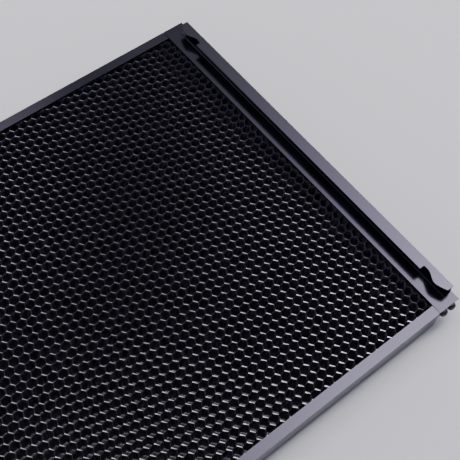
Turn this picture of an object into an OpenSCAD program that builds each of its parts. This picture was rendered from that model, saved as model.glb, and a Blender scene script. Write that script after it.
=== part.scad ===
// Honeycomb light-control grid: a foil honeycomb held in a riveted and screwed aluminium frame.
// The frame lies on its rear face: +Z is the face that looks away from the lamp, and the
// wide front rail, which stays outside the accessory slot, is at +Y.

/* [Frame] */
// Width of the frame, side rail to side rail
frame_w = 304.8; // [220:0.1:640]
// Length of the frame, rear rail to front rail
frame_l = 304.8; // [220:0.1:640]
// Height of the rails
rail_h = 19.05; // [17:0.05:30]
// Width of the side and rear rails' lips, measured from the outer face
lip_w = 7.2; // [6.5:0.1:11]
// Wall of the side and rear rails
rail_wall = 1.5; // [1.2:0.1:2]

/* [Front rail] */
// Width of the front rail's top plate
plate_w = 17.8; // [17:0.1:28]
// Thickness of the top plate
plate_t = 1.8; // [1.4:0.1:2.4]
// Thickness of the web and the bottom lip under the plate
web_t = 1.5; // [1.2:0.1:2]
// How far the plate reaches over the honeycomb from the web
plate_overhang = 0.8; // [0.6:0.1:1]
// Depth of the ridge under the plate that takes the rivets
ridge_h = 3; // [3:0.1:4]
// Outer diameter of the screw ports under the plate
port_d = 5.6; // [5:0.1:6]

/* [Retainer strip] */
// Height of the strip above the plate
strip_h = 9; // [6.5:0.1:12]
// Width of the strip's top flange
flange_w = 8.8; // [8:0.1:12]
// Width of the strip's foot
foot_w = 6; // [5.5:0.1:6.5]
// Thickness of the strip's flange
flange_t = 1.2; // [0.8:0.1:1.4]
// Thickness of the strip's wall and foot
strip_t = 1; // [0.8:0.1:1.2]
// Ledge of bare plate outside the strip
strip_ledge = 1.2; // [0.5:0.1:2]
// Distance of the strip's left end from the line of the left rail's lip
strip_left_gap = 1.3; // [0:0.1:3]
// Depth of the bite near each end of the flange
bite_depth = 4; // [2.5:0.1:5]
// How far the flange narrows at its very end
end_taper = 3.3; // [1:0.1:4]
// Number of rivets through the foot
rivet_count = 6; // [3:1:9]
// Diameter of those rivets
rivet_d = 2.4; // [2:0.1:2.6]
// Depth of the rivets below the top of the plate
rivet_depth = 4; // [3.5:0.1:4.5]

/* [Screws] */
// Nominal diameter of all the screws
screw_d = 3; // [2.5:0.1:3.2]
// Diameter of the pan heads on the right rail's end
pan_d = 6; // [5.6:0.1:6.4]
// Height of the pan heads
pan_h = 2.6; // [1.8:0.1:2.8]
// Length of the front rail's end screws
end_screw_length = 14; // [10:1:20]
// Distance from an end screw's axis to the top of the plate
end_screw_drop = 3.4; // [3.2:0.1:4]
// Distance between the two end screws at each end
end_screw_spacing = 7.7; // [7:0.1:9]
// Head diameter of the countersunk screws
flat_head_d = 5.4; // [5:0.1:5.6]

/* [Corner brackets] */
// Length of each leg of the rear corner brackets
bracket_leg = 26; // [24:1:40]
// Thickness of the brackets
bracket_t = 2.5; // [2:0.1:3]
// Distance from the corner to the first screw in a leg
bracket_screw_1 = 10; // [9:0.5:11]
// Distance from the first to the second screw in a leg
bracket_screw_pitch = 10; // [8:0.5:11]

/* [Honeycomb] */
// Distance between neighbouring cells along a row
cell_pitch = 12.7; // [10:0.1:26]
// Thickness of the cell walls
cell_wall = 0.8; // [0.5:0.05:1.5]
// How much longer the cells are along Y than regular ones
cell_stretch = 1.146; // [1:0.002:1.3]
// How far each row is offset sideways, as a share of the pitch
row_offset = 0.334; // [0.2:0.002:0.5]
// Sideways slope of the rows, as a share of the pitch
row_slope = 0.047; // [0:0.001:0.08]

/* [Fits] */
// Gap between pieces that slide together
fit_gap = 0.1; // [0.05:0.01:0.2]
// Open joint between a side rail's end and the front rail's plate
joint_gap = 0.4; // [0.1:0.05:0.6]
// Gap between the honeycomb and what surrounds it
core_gap = 0.2; // [0.1:0.05:0.4]
// Clearance of a screw in a plain hole, on the diameter
hole_gap = 0.4; // [0.2:0.1:0.6]

/* [Hidden] */
$fn = 48;
cut = 1;

half_w = frame_w / 2;
half_l = frame_l / 2;
plate_in_y = half_l - plate_w;
plate_z = rail_h - plate_t;
side_end_y = plate_in_y - joint_gap;

web_in_y = plate_in_y + plate_overhang;
web_end_x = half_w - rail_wall - fit_gap;
bottom_lip_w = lip_w - rail_wall;

// The second port stands against the web, and the first one is a screw spacing further out
port_2_y = web_in_y + port_d / 2 + 0.2;
port_1_y = port_2_y + end_screw_spacing;
port_z = rail_h - end_screw_drop;

tab_l = port_1_y + pan_d / 2 + 0.6 - side_end_y;
tab_low = port_z - pan_d / 2 - 1.1;

strip_y = half_l - strip_ledge;
strip_left_x = -half_w + lip_w + strip_left_gap;
strip_right_x = half_w - lip_w;
strip_len = strip_right_x - strip_left_x;
flange_z = rail_h + strip_h;
rivet_y = strip_y - (strip_t + foot_w) / 2;
rivet_head_d = 1.7 * rivet_d;
rivet_end = 25;
rivet_step = (frame_w - 2 * (lip_w + rivet_end)) / (rivet_count - 1);

bracket_h = rail_h - 2 * rail_wall - 2;
bracket_z = rail_h / 2;
core_edge = rail_wall + bracket_t + core_gap;
core_rear_y = -half_l + core_edge;
core_front_y = web_in_y - core_gap;
core_half_w = half_w - core_edge;
core_z = rail_wall + core_gap / 2;
core_t = min(rail_h - 2 * rail_wall, plate_z - rail_wall) - core_gap;
core_rim = 2;

// Section of a side or rear rail: a channel with its web at the origin and its mouth towards +X
module channel_section() {
  difference() {
    square([lip_w, rail_h]);
    translate([rail_wall, rail_wall]) square([lip_w, rail_h - 2 * rail_wall]);
  }
}

// A length of channel along +Y, with its web in the plane x = 0 and one mitred end at y = 0
module mitred_channel(length) {
  difference() {
    translate([0, length, 0]) rotate([90, 0, 0]) linear_extrude(height = length) channel_section();
    translate([0, 0, -cut]) rotate(45) translate([0, -2 * lip_w, 0])
      cube([4 * lip_w, 2 * lip_w, rail_h + 2 * cut]);
  }
}

// Countersunk screw pointing along +X, with its head face in the plane x = 0
module flat_screw(length) {
  head_h = (flat_head_d - screw_d) / 2;
  difference() {
    rotate([0, 90, 0]) rotate_extrude()
      polygon([[0, 0], [flat_head_d / 2, 0], [screw_d / 2, head_h], [screw_d / 2, length], [0, length]]);
    translate([-cut, 0, 0]) rotate([0, 90, 0]) cylinder(d = 2, h = head_h + cut - 0.2, $fn = 6);
  }
}

// Hole for a countersunk screw, in the same place as flat_screw
module flat_screw_hole() {
  head_h = (flat_head_d - screw_d) / 2;
  rotate([0, 90, 0]) rotate_extrude()
    polygon([[0, -cut], [flat_head_d / 2, -cut], [flat_head_d / 2, 0], [screw_d / 2, head_h],
             [screw_d / 2, rail_wall + cut], [0, rail_wall + cut]]);
}

// The children at both screw places of one leg of a rear corner, which stands at the origin
module leg_screw_places() {
  for (i = [0, 1])
    translate([0, bracket_screw_1 + i * bracket_screw_pitch, bracket_z]) children();
}

// The children at all the screw places of the rear left corner, along both rails
module corner_screw_places() {
  leg_screw_places() children();
  mirror([1, -1, 0]) leg_screw_places() children();
}

// Moves the children from a corner at the origin to the rear left corner of the frame
module at_rear_left() {
  translate([-half_w, -half_l, 0]) children();
}

module rear_left_corner_bracket() {
  color([0.30, 0.30, 0.32])
  at_rear_left() difference() {
    translate([rail_wall, rail_wall, bracket_z - bracket_h / 2]) difference() {
      cube([bracket_leg, bracket_leg, bracket_h]);
      translate([bracket_t, bracket_t, -cut]) cube([bracket_leg, bracket_leg, bracket_h + 2 * cut]);
    }
    corner_screw_places() translate([rail_wall - cut, 0, 0])
      rotate([0, 90, 0]) cylinder(d = screw_d, h = bracket_t + 2 * cut);
  }
}

module rear_left_corner_screws() {
  color([0.16, 0.16, 0.17])
  at_rear_left() corner_screw_places() flat_screw(rail_wall + bracket_t);
}

// The children at the two end screws of the front rail's left end, in the rail's outer face
module end_screw_places() {
  for (y = [port_1_y, port_2_y]) translate([-half_w, y, port_z]) children();
}

// A left side rail, with a tab that closes the front rail's end, before the tab is drilled
module side_rail_blank() {
  difference() {
    union() {
      at_rear_left() mitred_channel(side_end_y + half_l);
      translate([-half_w, side_end_y - cut, tab_low])
        cube([rail_wall, tab_l + cut, plate_z - tab_low]);
    }
    at_rear_left() leg_screw_places() flat_screw_hole();
  }
}

module left_rail() {
  color([0.13, 0.13, 0.15])
  difference() {
    side_rail_blank();
    end_screw_places() flat_screw_hole();
  }
}

module right_rail() {
  color([0.13, 0.13, 0.15])
  mirror([1, 0, 0]) difference() {
    side_rail_blank();
    end_screw_places() translate([-cut, 0, 0])
      rotate([0, 90, 0]) cylinder(d = screw_d + hole_gap, h = rail_wall + 2 * cut);
  }
}

module rear_rail() {
  color([0.13, 0.13, 0.15])
  difference() {
    intersection() {
      at_rear_left() mirror([1, -1, 0]) mitred_channel(frame_w);
      mirror([1, 0, 0]) at_rear_left() mirror([1, -1, 0]) mitred_channel(frame_w);
    }
    for (side = [0, 1]) mirror([side, 0, 0])
      at_rear_left() mirror([1, -1, 0]) leg_screw_places() flat_screw_hole();
  }
}

module front_rail() {
  color([0.14, 0.14, 0.16])
  difference() {
    union() {
      translate([-half_w, plate_in_y, plate_z]) cube([frame_w, plate_w, plate_t]);
      translate([-web_end_x, web_in_y, 0]) cube([2 * web_end_x, web_t, plate_z + plate_t / 2]);
      translate([-half_w + lip_w + fit_gap, web_in_y - bottom_lip_w, 0])
        cube([frame_w - 2 * lip_w - 2 * fit_gap, bottom_lip_w + web_t / 2, rail_wall]);
      for (y = [port_1_y, port_2_y]) port_bar(y);
      translate([-web_end_x, port_1_y, plate_z - ridge_h])
        cube([2 * web_end_x, rivet_y + rivet_d - port_1_y, ridge_h + plate_t / 2]);
    }
    end_screw_places() flat_screw_hole();
    for (side = [0, 1], y = [port_1_y, port_2_y]) mirror([side, 0, 0])
      translate([-web_end_x - cut, y, port_z])
        rotate([0, 90, 0]) cylinder(d = screw_d, h = end_screw_length + 2 + cut);
    for (i = [0:rivet_count - 1]) at_rivet(i)
      translate([0, 0, -rivet_depth]) cylinder(d = rivet_d, h = rivet_depth + cut);
  }
}

// The round bar under the plate that a pair of end screws is driven into
module port_bar(y) {
  translate([-web_end_x, y, port_z]) rotate([0, 90, 0]) cylinder(d = port_d, h = 2 * web_end_x);
  translate([-web_end_x, y - port_d / 2, port_z])
    cube([2 * web_end_x, port_d, plate_z + plate_t / 2 - port_z]);
}

// Moves the children to the top of the plate at one rivet
module at_rivet(i) {
  translate([(i - (rivet_count - 1) / 2) * rivet_step, rivet_y, rail_h]) children();
}

// One end of the flange's inner edge, from the middle of the flange to its very end, as
// [distance from the end, how far the edge stands back]: a square step into a bite with one
// rounded corner, a short floor, a swell back to the full width and a taper to the end.
bite_start = 23;
bite_r = 1.1;
bite_floor = 2.4;
swell_at = 9;
swell_from = bite_start - bite_r - bite_floor;
curve_steps = 8;
function ease(t) = (1 - cos(180 * t)) / 2;
flange_end_edge = concat(
  [[bite_start, 0]],
  [for (i = [0:curve_steps / 2]) let (a = 90 * i / (curve_steps / 2))
    [bite_start - bite_r + bite_r * cos(a), bite_depth - bite_r + bite_r * sin(a)]],
  [for (i = [0:curve_steps]) let (t = i / curve_steps)
    [swell_from + (swell_at - swell_from) * t, bite_depth * (1 - ease(t))]],
  [for (i = [1:curve_steps]) let (t = i / curve_steps)
    [swell_at * (1 - t), end_taper * pow(t, 1.5)]]
);

// Outline of the flange, with its outer edge on the X axis and its inner edge towards -Y
module flange_outline() {
  right = [for (q = flange_end_edge) [strip_right_x - q[0], q[1] - flange_w]];
  left = [for (i = [len(right) - 1:-1:0]) [strip_left_x + strip_right_x - right[i][0], right[i][1]]];
  polygon(concat([[strip_left_x, 0]], left, right, [[strip_right_x, 0]]));
}

module retainer_strip() {
  color([0.15, 0.15, 0.18])
  difference() {
    union() {
      translate([0, strip_y, flange_z - flange_t]) linear_extrude(height = flange_t) flange_outline();
      translate([strip_left_x, strip_y - strip_t, rail_h])
        cube([strip_len, strip_t, strip_h - flange_t / 2]);
      translate([strip_left_x, strip_y - foot_w, rail_h]) cube([strip_len, foot_w, strip_t]);
    }
    for (i = [0:rivet_count - 1]) at_rivet(i)
      rotate_extrude() rivet_hole_section();
  }
}

// The rivet's countersink in the foot
module rivet_hole_section() {
  polygon([[0, -cut], [rivet_d / 2, -cut], [rivet_d / 2, strip_t - (rivet_head_d - rivet_d) / 2],
           [rivet_head_d / 2, strip_t], [rivet_head_d / 2, strip_t + cut], [0, strip_t + cut]]);
}

module retainer_rivets() {
  color([0.35, 0.35, 0.37])
  for (i = [0:rivet_count - 1]) at_rivet(i) rotate_extrude()
    polygon([[0, -rivet_depth], [rivet_d / 2, -rivet_depth],
             [rivet_d / 2, strip_t - (rivet_head_d - rivet_d) / 2],
             [rivet_head_d / 2, strip_t], [0, strip_t]]);
}

// Pan-head screw pointing along +X, seated in the plane x = 0, with a hexagon socket
module pan_screw() {
  edge_h = 0.7;
  crown_r = pan_h - edge_h;
  difference() {
    union() {
      rotate([0, 90, 0]) cylinder(d = screw_d, h = end_screw_length);
      rotate([0, -90, 0]) cylinder(d = pan_d, h = edge_h);
      rotate([0, -90, 0]) rotate_extrude() union() {
        square([pan_d / 2 - crown_r, pan_h]);
        intersection() {
          translate([pan_d / 2 - crown_r, edge_h]) circle(r = crown_r);
          translate([0, edge_h]) square([pan_d, pan_h]);
        }
      }
    }
    translate([-pan_h - cut, 0, 0]) rotate([0, 90, 0]) cylinder(d = 2.3, h = 1.5 + cut, $fn = 6);
  }
}

module left_end_screws() {
  color([0.12, 0.12, 0.13])
  end_screw_places() flat_screw(end_screw_length);
}

module right_end_screws() {
  color([0.12, 0.12, 0.13])
  mirror([1, 0, 0]) end_screw_places() pan_screw();
}

// The honeycomb's lattice: one step along a row and one step to the next row
step_row = [cell_pitch, row_slope * cell_pitch];
step_next = [row_offset * cell_pitch, cell_stretch * cell_pitch * cos(30)];
row_steps = ceil(core_half_w / cell_pitch) + 1;
next_steps = ceil(half_l / step_next[1]) + 1;

// Outline of one cell: its corners lie a third of the way to each pair of neighbours
function cell_outline(share) =
  let (around = [step_row, step_next, step_next - step_row, -step_row, -step_next, step_row - step_next])
  [for (i = [0:5]) share * (around[i] + around[(i + 1) % 6]) / 3];

module honeycomb_core() {
  core_size = [2 * core_half_w, core_front_y - core_rear_y];
  color([0.08, 0.08, 0.09])
  translate([0, (core_front_y + core_rear_y) / 2, core_z]) linear_extrude(height = core_t)
    difference() {
      square(core_size, center = true);
      intersection() {
        square([core_size[0] - 2 * core_rim, core_size[1] - 2 * core_rim], center = true);
        union()
          for (j = [-next_steps:next_steps], i = [-row_steps:row_steps])
            translate((i - round(j * row_offset)) * step_row + j * step_next)
              polygon(cell_outline(1 - cell_wall / cell_pitch));
      }
    }
}

honeycomb_core();
left_rail();
right_rail();
rear_rail();
front_rail();
retainer_strip();
retainer_rivets();
left_end_screws();
right_end_screws();
rear_left_corner_bracket();  // rear_left_bracket
mirror([1, 0, 0]) rear_left_corner_bracket();  // rear_right_bracket
rear_left_corner_screws();  // rear_left_screws
mirror([1, 0, 0]) rear_left_corner_screws();  // rear_right_screws
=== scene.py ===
import bpy
import math
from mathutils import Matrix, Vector, noise


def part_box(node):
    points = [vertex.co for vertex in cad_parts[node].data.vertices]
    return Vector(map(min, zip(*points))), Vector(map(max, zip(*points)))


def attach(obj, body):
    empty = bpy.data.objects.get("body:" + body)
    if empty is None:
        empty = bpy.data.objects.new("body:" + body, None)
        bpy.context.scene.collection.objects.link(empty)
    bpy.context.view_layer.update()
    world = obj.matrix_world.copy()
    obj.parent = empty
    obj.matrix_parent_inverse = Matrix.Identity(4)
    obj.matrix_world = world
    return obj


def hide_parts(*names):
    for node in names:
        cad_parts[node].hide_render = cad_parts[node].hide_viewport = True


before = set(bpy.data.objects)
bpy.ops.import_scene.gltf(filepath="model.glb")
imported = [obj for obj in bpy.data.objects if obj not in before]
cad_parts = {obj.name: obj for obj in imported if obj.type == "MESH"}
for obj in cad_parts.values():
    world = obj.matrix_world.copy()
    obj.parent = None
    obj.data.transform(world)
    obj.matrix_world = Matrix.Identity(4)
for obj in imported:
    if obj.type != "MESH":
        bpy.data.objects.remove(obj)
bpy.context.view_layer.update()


# Camera: a long lens, more than half a metre up and just outside the grid's rear right corner, which
# looks across the honeycomb at the front rail and is tilted a little to one side.
LENS = 72.8
CAMERA_PLACE = (0.2498, -0.1705, 0.5676)
CAMERA_TURN = (30.73, -3.69, 50.91)

camera = bpy.data.objects.new("camera", bpy.data.cameras.new("camera"))
camera.data.lens = LENS
camera.location = CAMERA_PLACE
camera.rotation_euler = [math.radians(turn) for turn in CAMERA_TURN]
bpy.context.scene.collection.objects.link(camera)
bpy.context.scene.camera = camera


# Floor: a large sheet of matt white paper, which the grid lies on with its rear face down. The
# paper's tone wanders by a hair.
FLOOR_HALF = 6.0
PAPER_SHADES = (0.90, 0.90, 0.90), (0.92, 0.92, 0.92)
DARK_BELOW, LIGHT_ABOVE = 0.35, 0.65  # values of a noise that give the dark and the light shade


def add_link(material, source, output, target, input_name):
    material.node_tree.links.new(source.outputs[output], target.inputs[input_name])


def new_material(name, roughness, metallic=0.0, specular=0.5):
    """A material and its Principled node, whose even values are set on the node itself."""
    material = bpy.data.materials.new(name)
    material.use_nodes = True
    shader = material.node_tree.nodes["Principled BSDF"]
    shader.inputs["Roughness"].default_value = roughness
    shader.inputs["Metallic"].default_value = metallic
    shader.inputs["Specular IOR Level"].default_value = specular
    return material, shader


def cloud(material, scale, detail=3.0, stretch=(1, 1, 1)):
    """A noise in the piece's own space, drawn out along the axes where stretch is small."""
    nodes = material.node_tree.nodes
    place = nodes.new("ShaderNodeTexCoord")
    mapping = nodes.new("ShaderNodeMapping")
    mapping.inputs["Scale"].default_value = stretch
    mist = nodes.new("ShaderNodeTexNoise")
    mist.inputs["Scale"].default_value = scale
    mist.inputs["Detail"].default_value = detail
    add_link(material, place, "Object", mapping, "Vector")
    add_link(material, mapping, "Vector", mist, "Vector")
    return mist


def mottled_colour(material, shader, mist, dark, light):
    """Lets the base colour wander between two close shades, and returns the ramp between them."""
    ramp = material.node_tree.nodes.new("ShaderNodeValToRGB")
    ramp.color_ramp.elements[0].position = DARK_BELOW
    ramp.color_ramp.elements[0].color = (*dark, 1)
    ramp.color_ramp.elements[1].position = LIGHT_ABOVE
    ramp.color_ramp.elements[1].color = (*light, 1)
    add_link(material, mist, "Fac", ramp, "Fac")
    add_link(material, ramp, "Color", shader, "Base Color")
    return ramp


paper, paper_shader = new_material("paper", roughness=0.9, specular=0.1)
mottled_colour(paper, paper_shader, cloud(paper, scale=3.0), *PAPER_SHADES)
floor_mesh = bpy.data.meshes.new("floor")
floor_mesh.from_pydata(
    [(-FLOOR_HALF, -FLOOR_HALF, 0), (FLOOR_HALF, -FLOOR_HALF, 0),
     (FLOOR_HALF, FLOOR_HALF, 0), (-FLOOR_HALF, FLOOR_HALF, 0)], [], [(0, 1, 2, 3)])
floor = bpy.data.objects.new("floor", floor_mesh)
floor.data.materials.append(paper)
bpy.context.scene.collection.objects.link(floor)


# Light: a pale cool tent all round, dim overhead, and one wide diffusion scrim, with lamps behind it
# that leave it bright along its +X edge, weak in the middle and brighter again at the far side.
TENT_TINT = (0.90, 0.92, 1.12, 1)
TENT_WALLS, TENT_ROOF = 0.9, 0.12
WALLS_END, ROOF_STARTS = 0.35, 0.65  # sines of the angle above the floor
SCRIM_TINT = (1.0, 0.97, 1.05)
SCRIM_LOW, SCRIM_HIGH = Vector((-1.7, -0.9)), Vector((0.13, 1.7))
SCRIM_HEIGHT = 1.5
KEY_GLOW, KEY_FALLOFF = 13.5, 2.55  # the glow at the +X edge, and how fast it fades, per metre
FAR_GLOW, REAR_GLOW = 1.9, 1.5
# Where each pool of light starts and where it is full, in metres along X or Y
KEY_SIDE_X, KEY_FRONT_Y, KEY_REAR_Y = (-0.62, -0.40), (0.60, 0.80), (-0.3, 0.9)
FAR_INNER_X, FAR_OUTER_X, FAR_FRONT_Y = (-0.75, -1.0), (-1.45, -1.05), (0.68, 0.42)
REAR_FRONT_Y = (0.40, 0.10)

world = bpy.data.worlds.new("tent")
world.use_nodes = True
background = world.node_tree.nodes["Background"]
background.inputs["Color"].default_value = TENT_TINT
direction = world.node_tree.nodes.new("ShaderNodeTexCoord")
height = world.node_tree.nodes.new("ShaderNodeSeparateXYZ")
tent = world.node_tree.nodes.new("ShaderNodeMapRange")
tent.interpolation_type = "SMOOTHSTEP"
tent.inputs["From Min"].default_value = WALLS_END
tent.inputs["From Max"].default_value = ROOF_STARTS
tent.inputs["To Min"].default_value = TENT_WALLS
tent.inputs["To Max"].default_value = TENT_ROOF
world.node_tree.links.new(direction.outputs["Generated"], height.inputs[0])
world.node_tree.links.new(height.outputs["Z"], tent.inputs["Value"])
world.node_tree.links.new(tent.outputs["Result"], background.inputs["Strength"])
bpy.context.scene.world = world

lamp = bpy.data.lights.new("scrim", "AREA")
lamp.shape = "RECTANGLE"
lamp.size, lamp.size_y = SCRIM_HIGH - SCRIM_LOW
lamp.energy = lamp.size * lamp.size_y * math.pi
lamp.color = SCRIM_TINT
lamp.use_nodes = True
on_scrim = lamp.node_tree.nodes.new("ShaderNodeSeparateXYZ")
place = lamp.node_tree.nodes.new("ShaderNodeNewGeometry")
lamp.node_tree.links.new(place.outputs["Position"], on_scrim.inputs[0])


def worked_out(operation, *values):
    """One sum on the scrim's glow, of numbers and of other nodes' outputs."""
    node = lamp.node_tree.nodes.new("ShaderNodeMath")
    node.operation = operation
    for socket, value in zip(node.inputs, values):
        if isinstance(value, float):
            socket.default_value = value
        else:
            lamp.node_tree.links.new(value, socket)
    return node.outputs[0]


def rising(axis, start, end):
    """Goes softly from 0 to 1 between two places on the scrim, in metres."""
    node = lamp.node_tree.nodes.new("ShaderNodeMapRange")
    node.interpolation_type = "SMOOTHSTEP"
    node.inputs["From Min"].default_value = start
    node.inputs["From Max"].default_value = end
    lamp.node_tree.links.new(on_scrim.outputs[axis], node.inputs["Value"])
    return node.outputs["Result"]


from_edge = worked_out("SUBTRACT", on_scrim.outputs["X"], SCRIM_HIGH.x)
fade = worked_out("EXPONENT", worked_out("MULTIPLY", from_edge, KEY_FALLOFF))
spread = worked_out("MAXIMUM", rising("X", *KEY_SIDE_X), rising("Y", *KEY_FRONT_Y))
key = worked_out("MULTIPLY", worked_out("MULTIPLY", fade, spread), rising("Y", *KEY_REAR_Y))
far_band = worked_out("MULTIPLY", rising("X", *FAR_INNER_X), rising("X", *FAR_OUTER_X))
far = worked_out("MULTIPLY", far_band, rising("Y", *FAR_FRONT_Y))
rear = worked_out("MULTIPLY", rising("Y", *REAR_FRONT_Y), REAR_GLOW)
glow = worked_out("MULTIPLY_ADD", key, KEY_GLOW, worked_out("MULTIPLY_ADD", far, FAR_GLOW, rear))
lamp.node_tree.links.new(glow, lamp.node_tree.nodes["Emission"].inputs["Strength"])
scrim = bpy.data.objects.new("scrim", lamp)
scrim.location = (*((SCRIM_LOW + SCRIM_HIGH) / 2), SCRIM_HEIGHT)
bpy.context.scene.collection.objects.link(scrim)


# Honeycomb core: foil ribbons glued together in lines, pulled open into cells, sawn to a block and
# dipped in black paint, which gathers in a bead on the cut edges. Where two foils are glued the
# bead is wide at one end and the metal shines through it. The rails hold the block by its edges.
MM = 0.001
CELL = 6.35 * MM
ROW_STEP = Vector((1.0, 0.047)) * CELL
NEXT_STEP = Vector((0.334, 0.992)) * CELL
# The rings of a cell at the front: half width of a single wall, of a glued wall, and depth, in mm
CREST = (
    (0.00, 0.00, 0.00),
    (0.06, 0.31, 0.01),
    (0.12, 0.38, 0.12),
    (0.10, 0.16, 1.30))
FOOT = ((0.10, 0.16), (0.00, 0.00))  # and at the rear, the inner and the outer edge of the sawn foil
TAIL = 0.2  # the share of a glued wall's extra width that its bead still has at the narrow end
TUCKED, OPEN = 9 * MM, 24 * MM  # how far from the front rail the beads start, and are full
WAVER, WAVES_PER_CELL = 0.22 * MM, 0.74  # how far the joints stray, and how soon that changes
BLOCK = 5  # any other whole number above 0 gives another block, pulled open a little differently
STRAIGHT = 0.2  # a corner whose turn has a smaller sine than this counts as straight
DRAWN_IN, MOST_DRAWN_IN = 4, 0.8  # of a sliver of a cell, per cell's width of bead, and at most
STEPS_PER_METRE = 1e6  # corners that round to the same step are one point
FOIL, BEAD, THIN = 0, 1, 2  # walls, thick paint on their edges, and thin paint on glued walls' edges
BEAD_LEVELS = 2  # the levels of a wall, from the face down, that its bead covers
core_low, core_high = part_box("honeycomb_core")
noise.seed_set(BLOCK)


def wavered(point):
    """The foil is pulled open by hand, so each joint of the cells sits a little off its place."""
    push = noise.noise_vector(Vector((point.x, point.y, 0.0)) * WAVES_PER_CELL / CELL)
    return point + Vector((push.x, push.y)) * WAVER


def cell_outline(i, j):
    """Corners of a cell, each with the kind of wall that starts there."""
    centre = ROW_STEP * i + NEXT_STEP * j
    around = [ROW_STEP, NEXT_STEP, NEXT_STEP - ROW_STEP, -ROW_STEP, -NEXT_STEP, ROW_STEP - NEXT_STEP]
    corners = [wavered(centre + (around[k] + around[(k + 1) % 6]) / 3) for k in range(6)]
    walls = ("single", "widening", "single", "single", "narrowing", "single")
    return list(zip(corners, walls))


def trimmed(outline, low, high):
    """The part of a cell that lies inside the sawn block."""
    cuts = ((0, low.x, True), (0, high.x, False), (1, low.y, True), (1, high.y, False))
    for axis, limit, keep_above in cuts:
        kept = []
        for (here, wall), (after, _) in zip(outline, outline[1:] + outline[:1]):
            inside = (here[axis] >= limit) == keep_above
            crosses = inside != ((after[axis] >= limit) == keep_above)
            if inside:
                kept.append((here, wall))
            if crosses:
                share = (limit - here[axis]) / (after[axis] - here[axis])
                kept.append((here.lerp(after, share), "cut" if inside else wall))
        outline = kept
        if len(outline) < 3:
            return []
    return outline


def bead_width(wall, at_end, single, glued):
    """Half width of a wall's bead at its start or its end."""
    if wall == "widening":
        return single + (glued - single) * (1 if at_end else TAIL)
    if wall == "narrowing":
        return single + (glued - single) * (TAIL if at_end else 1)
    return single


def inset(corners, starts, ends):
    """The cell's outline with the start and the end of each wall moved inwards by their own
    distances. A cell too small for that is drawn in towards its middle instead."""
    count = len(corners)
    sides = [corners[(k + 1) % count] - corners[k] for k in range(count)]
    moved = []
    for k in range(count):
        before, here = sides[k - 1], sides[k]
        turn = before.x * here.y - before.y * here.x
        if abs(turn) < STRAIGHT * before.length * here.length:
            break
        shift = (before * (starts[k] * here.length) - here * (ends[k - 1] * before.length)) / turn
        moved.append(corners[k] + shift)
    whole = len(moved) == count and all(
        (moved[(k + 1) % count] - moved[k]).dot(sides[k]) > 0 for k in range(count))
    if whole:
        return moved
    middle = sum(corners, Vector((0, 0))) / count
    share = min(MOST_DRAWN_IN, max(starts + ends) / CELL * DRAWN_IN)
    return [corner.lerp(middle, share) for corner in corners]


def core_mesh():
    """All the cells, each a stack of rings joined by walls. Neighbours share their outermost points."""
    points, index, faces, paints, smooth = [], {}, [], [], []

    def point(xy, z):
        key = tuple(round(place * STEPS_PER_METRE) for place in (xy.x, xy.y, z))
        if key not in index:
            index[key] = len(points)
            points.append((xy.x, xy.y, z))
        return index[key]

    middle = (core_low.xy + core_high.xy) / 2
    low, high = core_low.xy - middle, core_high.xy - middle
    rings = [(single, glued, core_high.z - depth * MM) for single, glued, depth in CREST]
    rings += [(single, glued, core_low.z) for single, glued in FOOT]
    reach = int((high - low).length / CELL)
    for j in range(-reach, reach + 1):
        for i in range(-reach, reach + 1):
            outline = trimmed(cell_outline(i, j), low, high)
            if not outline:
                continue
            corners = [corner for corner, _ in outline]
            walls = [wall for _, wall in outline]
            count = len(corners)
            stack = []
            from_rail = high.y - sum(corners, Vector((0, 0))).y / count
            bead = min(1.0, max(0.0, (from_rail - TUCKED) / (OPEN - TUCKED)))
            for single, glued, z in rings:
                wide = single + (glued - single) * bead
                starts = [bead_width(wall, False, single, wide) * MM for wall in walls]
                ends = [bead_width(wall, True, single, wide) * MM for wall in walls]
                shape = inset(corners, starts, ends) if single else corners
                stack.append([point(corner + middle, z) for corner in shape])
            for level, (upper, lower) in enumerate(zip(stack, stack[1:])):
                for k in range(count):
                    n = (k + 1) % count
                    faces.append([upper[k], upper[n], lower[n], lower[k]])
                    shining = level == 0 and walls[k] in ("widening", "narrowing") and bead > 0
                    paints.append(THIN if shining else BEAD if level < BEAD_LEVELS else FOIL)
                    smooth.append(level > 0)
            for k in range(count):
                if walls[k] == "cut":
                    n = (k + 1) % count
                    faces.append([stack[-1][k], stack[-1][n], stack[0][n], stack[0][k]])
                    paints.append(FOIL)
                    smooth.append(False)
    mesh = bpy.data.meshes.new("honeycomb")
    mesh.from_pydata(points, [], faces)
    mesh.polygons.foreach_set("material_index", paints)
    mesh.polygons.foreach_set("use_smooth", smooth)
    return mesh


# Painted light: the foil walls are given a lighter colour than the bead, and it grows lighter still
# with depth, to stand in for light that barely reaches down into the cells
FOIL_SHADES = (0.035, 0.031, 0.048), (0.118, 0.106, 0.155)
THICK_SHADES = (0.010, 0.009, 0.013), (0.022, 0.020, 0.028)
THIN_SHADES = (0.22, 0.215, 0.235), (0.38, 0.37, 0.40)
PAINTED_LIGHT_DEPTH = 8 * MM
TONE_AT_FACE, TONE_AT_DEPTH = 0.6, 2.3
CREASE_STRENGTH, CREASE_DEPTH = 0.8, 0.06 * MM

painted_foil, foil_shader = new_material("painted_foil", roughness=0.55, specular=0.3)
mottle = mottled_colour(painted_foil, foil_shader, cloud(painted_foil, scale=420.0), *FOIL_SHADES)
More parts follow.
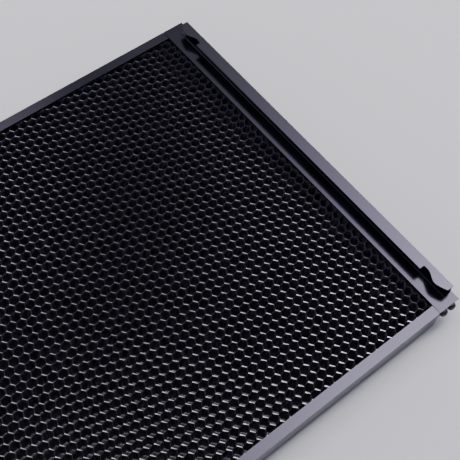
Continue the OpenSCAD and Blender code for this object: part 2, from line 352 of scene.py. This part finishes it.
# Painted light: the walls' colour is scaled darker at the face, where the scrim lights them, and
# lighter down in the cells, where little light reaches, so the cells read evenly
foil_nodes = painted_foil.node_tree.nodes
foil_place = foil_nodes.new("ShaderNodeTexCoord")
foil_height = foil_nodes.new("ShaderNodeSeparateXYZ")
painted_depth_light = foil_nodes.new("ShaderNodeMapRange")
painted_depth_light.inputs["From Min"].default_value = core_high.z
painted_depth_light.inputs["From Max"].default_value = core_high.z - PAINTED_LIGHT_DEPTH
painted_depth_light.inputs["To Min"].default_value = TONE_AT_FACE
painted_depth_light.inputs["To Max"].default_value = TONE_AT_DEPTH
painted_light_tone = foil_nodes.new("ShaderNodeVectorMath")
painted_light_tone.operation = "SCALE"
add_link(painted_foil, foil_place, "Object", foil_height, "Vector")
add_link(painted_foil, foil_height, "Z", painted_depth_light, "Value")
add_link(painted_foil, mottle, "Color", painted_light_tone, "Vector")
add_link(painted_foil, painted_depth_light, "Result", painted_light_tone, "Scale")
add_link(painted_foil, painted_light_tone, "Vector", foil_shader, "Base Color")
# Handling leaves small upright creases in it
creases = cloud(painted_foil, scale=700.0, detail=1.0, stretch=(1, 1, 0.08))
foil_bump = foil_nodes.new("ShaderNodeBump")
foil_bump.inputs["Strength"].default_value = CREASE_STRENGTH
foil_bump.inputs["Distance"].default_value = CREASE_DEPTH
add_link(painted_foil, creases, "Fac", foil_bump, "Height")
add_link(painted_foil, foil_bump, "Normal", foil_shader, "Normal")

thick_bead, bead_shader = new_material("thick_paint_bead", roughness=0.55, specular=0.3)
mottled_colour(thick_bead, bead_shader, cloud(thick_bead, scale=500.0), *THICK_SHADES)

thin_paint, thin_shader = new_material("thin_paint_over_foil", roughness=0.15, metallic=1.0)
mottled_colour(thin_paint, thin_shader, cloud(thin_paint, scale=500.0), *THIN_SHADES)

honeycomb = bpy.data.objects.new("honeycomb", core_mesh())
for paint in (painted_foil, thick_bead, thin_paint):
    honeycomb.data.materials.append(paint)
bpy.context.scene.collection.objects.link(honeycomb)
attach(honeycomb, "root")
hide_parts("honeycomb_core")


# Side and rear rails: slim channels of extruded aluminium, cut to length, mitred at the rear and
# anodised black. The die leaves faint lines along them, and the tumbler takes off their edges.
ANODISED_SHADES = (0.002, 0.0025, 0.0045), (0.004, 0.0045, 0.0075)
ANODISED_TINT = (0.83, 0.77, 1.0, 1)
ACROSS_LINES, ALONG_LINES = 1.0, 0.01
DIE_LINE_STRENGTH, DIE_LINE_DEPTH = 0.12, 0.01 * MM
RAIL_EDGE = 0.25 * MM
WELD_GAP = 0.002 * MM
FLAT_ANGLE, SHARP_ANGLE = 1, 35
EDGE_STEPS = 2


def anodised(name, along, smoothest=0.12, roughest=0.20, specular=0.84):
    """Black anodised extrusion, with the die's lines running along the X or the Y axis."""
    material, shader = new_material(name, roughness=roughest, specular=specular)
    shader.inputs["Specular Tint"].default_value = ANODISED_TINT
    mottled_colour(material, shader, cloud(material, scale=45.0), *ANODISED_SHADES)
    stretch = [ALONG_LINES if axis == along else ACROSS_LINES for axis in "XYZ"]
    die_lines = cloud(material, scale=900.0, detail=2.0, stretch=stretch)
    nodes = material.node_tree.nodes
    sheen = nodes.new("ShaderNodeMapRange")
    sheen.inputs["To Min"].default_value = smoothest
    sheen.inputs["To Max"].default_value = roughest
    bump = nodes.new("ShaderNodeBump")
    bump.inputs["Strength"].default_value = DIE_LINE_STRENGTH
    bump.inputs["Distance"].default_value = DIE_LINE_DEPTH
    add_link(material, die_lines, "Fac", sheen, "Value")
    add_link(material, sheen, "Result", shader, "Roughness")
    add_link(material, die_lines, "Fac", bump, "Height")
    add_link(material, bump, "Normal", shader, "Normal")
    return material


def finished(node_name, material, edge):
    """Gives a piece its finish, clears the seams from its flats and takes off its sharp edges."""
    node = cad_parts[node_name]
    node.data.materials.clear()
    node.data.materials.append(material)
    weld = node.modifiers.new("weld", "WELD")
    weld.merge_threshold = WELD_GAP
    flats = node.modifiers.new("flats", "DECIMATE")
    flats.decimate_type = "DISSOLVE"
    flats.angle_limit = math.radians(FLAT_ANGLE)
    corners = node.modifiers.new("edge", "BEVEL")
    corners.width = edge
    corners.segments = EDGE_STEPS
    corners.angle_limit = math.radians(SHARP_ANGLE)
    corners.harden_normals = True


lengthways = anodised("anodised_side_rails", "Y")
crossways = anodised("anodised_cross_rails", "X")
finished("left_rail", lengthways, RAIL_EDGE)
finished("right_rail", lengthways, RAIL_EDGE)
finished("rear_rail", crossways, RAIL_EDGE)


# Front rail: one wider extrusion with a flat top plate, a web and two round bars that the end screws
# cut their threads in. It stays outside the accessory slot and is the grid's handle.
handled = anodised("anodised_front_rail", "X", smoothest=0.14, roughest=0.20, specular=0.72)
finished("front_rail", handled, RAIL_EDGE)


# Retainer strip: a folded strip of the same anodised aluminium, riveted to the plate through its
# foot, with a bite and a swell punched in its flange near each end.
STRIP_EDGE = 0.07 * MM

folded = anodised("anodised_strip", "X", specular=1.0)
finished("retainer_strip", folded, STRIP_EDGE)


# Rivets: aluminium drive rivets with countersunk heads, through the strip's foot and down into the
# ridge under the plate. The heads are touched up with black lacquer.
LACQUER_SHADES = (0.010, 0.010, 0.011), (0.030, 0.030, 0.032)
RIVET_EDGE = 0.05 * MM

lacquer, lacquer_shader = new_material("black_lacquer", roughness=0.35, specular=0.5)
mottled_colour(lacquer, lacquer_shader, cloud(lacquer, scale=1200.0), *LACQUER_SHADES)
finished("retainer_rivets", lacquer, RIVET_EDGE)


# Screws: steel, blacked in hot salts and oiled. Pan heads at the front rail's right end, and
# countersunk heads at its left end and in the rear corners.
OXIDE_SHADES = (0.006, 0.006, 0.007), (0.020, 0.020, 0.021)
SCREW_EDGE = 0.08 * MM

black_oxide, oxide_shader = new_material("black_oxide_steel", roughness=0.2, metallic=0.3)
mottled_colour(black_oxide, oxide_shader, cloud(black_oxide, scale=1500.0), *OXIDE_SHADES)
for screws in ("left_end_screws", "right_end_screws", "rear_left_screws", "rear_right_screws"):
    finished(screws, black_oxide, SCREW_EDGE)


# Corner brackets: bent steel angles with a dull zinc plating. One lies inside the channels at each
# rear corner, and the countersunk screws pull the mitre together on it.
ZINC_SHADES = (0.34, 0.34, 0.33), (0.56, 0.56, 0.54)
BRACKET_EDGE = 0.15 * MM

zinc, zinc_shader = new_material("dull_zinc", roughness=0.45, metallic=1.0)
mottled_colour(zinc, zinc_shader, cloud(zinc, scale=350.0, detail=6.0), *ZINC_SHADES)
for bracket in ("rear_left_bracket", "rear_right_bracket"):
    finished(bracket, zinc, BRACKET_EDGE)
